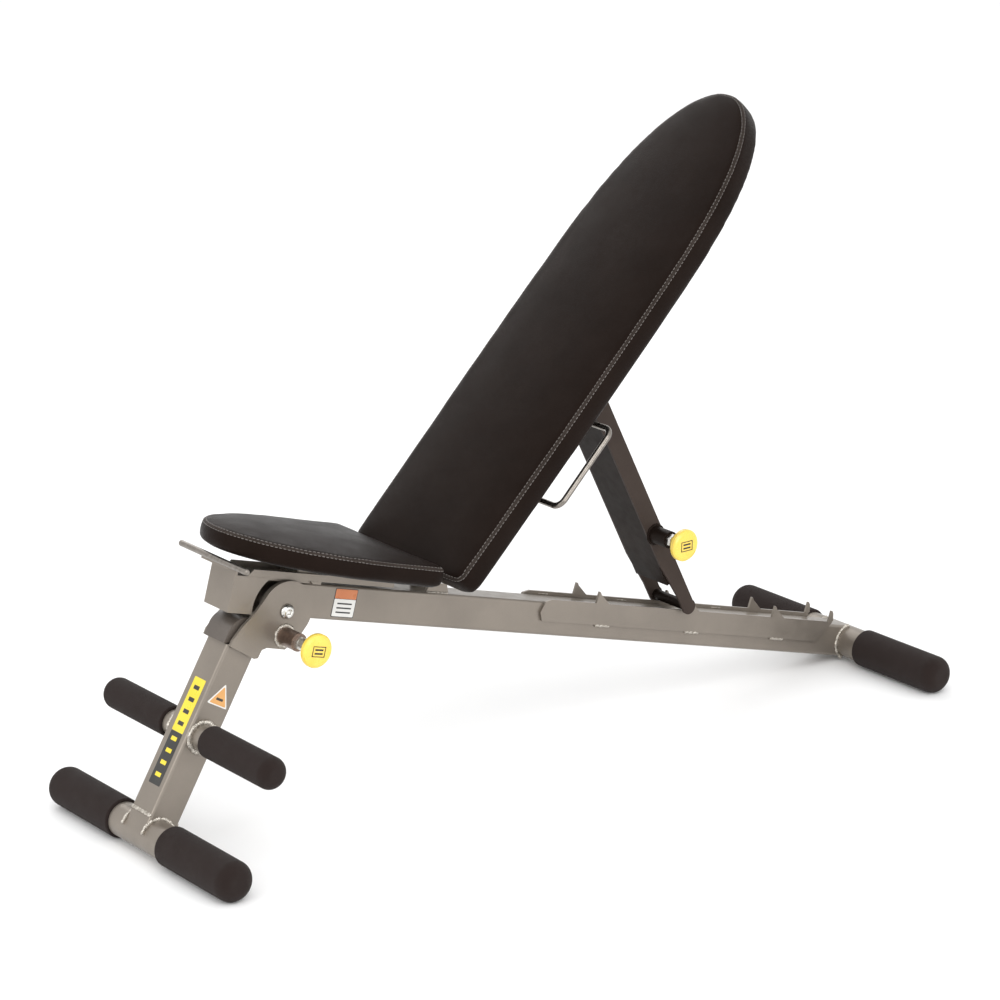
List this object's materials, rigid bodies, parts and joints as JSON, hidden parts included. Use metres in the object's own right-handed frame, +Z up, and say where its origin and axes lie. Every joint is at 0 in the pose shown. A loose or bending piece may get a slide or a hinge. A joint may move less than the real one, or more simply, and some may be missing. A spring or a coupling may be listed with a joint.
{
  "type": "adjustable weight bench",
  "caption": "Folding adjustable weight bench with padded seat and back rest, a toothed support ladder, a telescoping arm with pull pin and foam-covered feet and leg roller.",
  "frame": {"origin": "on the floor under the middle of the bench's bounding box", "axes": "+X along the bench from the front foot to the rear foot, +Y across the bench to the user's right when seated facing -X, +Z up"},
  "size_m": [1.3696, 0.472, 0.9504],
  "materials": {
    "frame_paint": "warm grey metallic powder coat",
    "black_paint": "satin black powder coat",
    "upholstery": "black-brown grained vinyl over foam",
    "plywood": "plywood board with a black vinyl underside",
    "foam_sleeve": "matte dark foam sleeve",
    "zinc": "bright zinc plating",
    "knob": "glossy yellow moulded plastic",
    "cap": "matte black moulded plastic"
  },
  "bodies": {
    "frame": {"back_hinge_bolt": "zinc", "back_hinge_nut": "zinc", "front_handle": "frame_paint", "head_bracket": "frame_paint", "hinge_ear_left": "frame_paint", "hinge_ear_right": "frame_paint", "hub_plate_left": "frame_paint", "hub_plate_right": "frame_paint", "ladder_plate_left": "frame_paint", "ladder_plate_right": "frame_paint", "main_rail": "frame_paint", "pivot_bolt": "zinc", "pivot_nut": "zinc", "pivot_spacer": "frame_paint", "rear_foot_sleeve_left": "foam_sleeve", "rear_foot_sleeve_right": "foam_sleeve", "rear_foot_tube": "frame_paint", "seat_board": "plywood", "seat_channel": "frame_paint", "seat_pad": "upholstery", "seat_riser_front": "frame_paint", "seat_riser_rear": "frame_paint", "seat_screws": "zinc"},
    "leg": {"front_foot_sleeve_left": "foam_sleeve", "front_foot_sleeve_right": "foam_sleeve", "front_foot_tube": "frame_paint", "leg_cap": "cap", "leg_ear_left": "frame_paint", "leg_ear_pad_left": "frame_paint", "leg_ear_pad_right": "frame_paint", "leg_ear_right": "frame_paint", "leg_pin_barrel": "frame_paint", "leg_pin_nut": "zinc", "leg_pin_spring": "zinc", "leg_tube": "frame_paint", "roller_sleeve_left": "foam_sleeve", "roller_sleeve_right": "foam_sleeve", "roller_tube": "frame_paint"},
    "leg_pin": {"leg_pin_knob": "knob", "leg_pin_plunger": "zinc"},
    "back_rest": {"arm_hinge_bolt": "zinc", "arm_hinge_nut": "zinc", "back_board": "plywood", "back_cross_lower": "black_paint", "back_cross_upper": "black_paint", "back_grip": "frame_paint", "back_pad": "upholstery", "back_rail_left": "black_paint", "back_rail_right": "black_paint", "back_screws": "zinc"},
    "arm_slide": {"arm_slide": "black_paint"},
    "arm_channel": {"arm_pin_barrel": "black_paint", "arm_pin_nut": "zinc", "arm_pin_spring": "zinc", "arm_rod": "black_paint", "arm_side_left": "black_paint", "arm_side_right": "black_paint", "arm_web": "black_paint"},
    "arm_pin": {"arm_pin_knob": "knob", "arm_pin_plunger": "zinc"}
  },
  "joints": [
    {"name": "leg_fold", "type": "hinge", "parent": "frame", "child": "leg", "pos_m": [-0.43765, 0, 0.31805], "axis": [0, -1, 0], "range_deg": [0, 105]},
    {"name": "leg_pin_pull", "type": "slide", "parent": "leg", "child": "leg_pin", "axis": [0, -1, 0], "range_m": [0, 0.012], "stiffness_N_per_m": 600, "springref_m": -0.005, "deforming": ["leg_pin_spring"]},
    {"name": "back_recline", "type": "hinge", "parent": "frame", "child": "back_rest", "pos_m": [-0.15946, 0, 0.30879], "axis": [0, -1, 0], "range_deg": [0, 33]},
    {"name": "arm_swing", "type": "hinge", "parent": "back_rest", "child": "arm_slide", "pos_m": [0.10795, 0, 0.55627], "axis": [0, -1, 0], "range_deg": [-35.09, 0.5]},
    {"name": "arm_extend", "type": "slide", "parent": "arm_slide", "child": "arm_channel", "axis": [0.4455, 0, -0.8953], "range_m": [-0.0005, 0.03339]},
    {"name": "arm_pin_pull", "type": "slide", "parent": "arm_channel", "child": "arm_pin", "axis": [0, -1, 0], "range_m": [0, 0.012], "stiffness_N_per_m": 600, "springref_m": -0.005, "deforming": ["arm_pin_spring"]}
  ],
  "couplings": [
    {"joint": "arm_swing", "follows": "back_recline", "ratio": -1.0483},
    {"joint": "arm_extend", "follows": "back_recline", "m_per_rad": 0.057096}
  ]
}
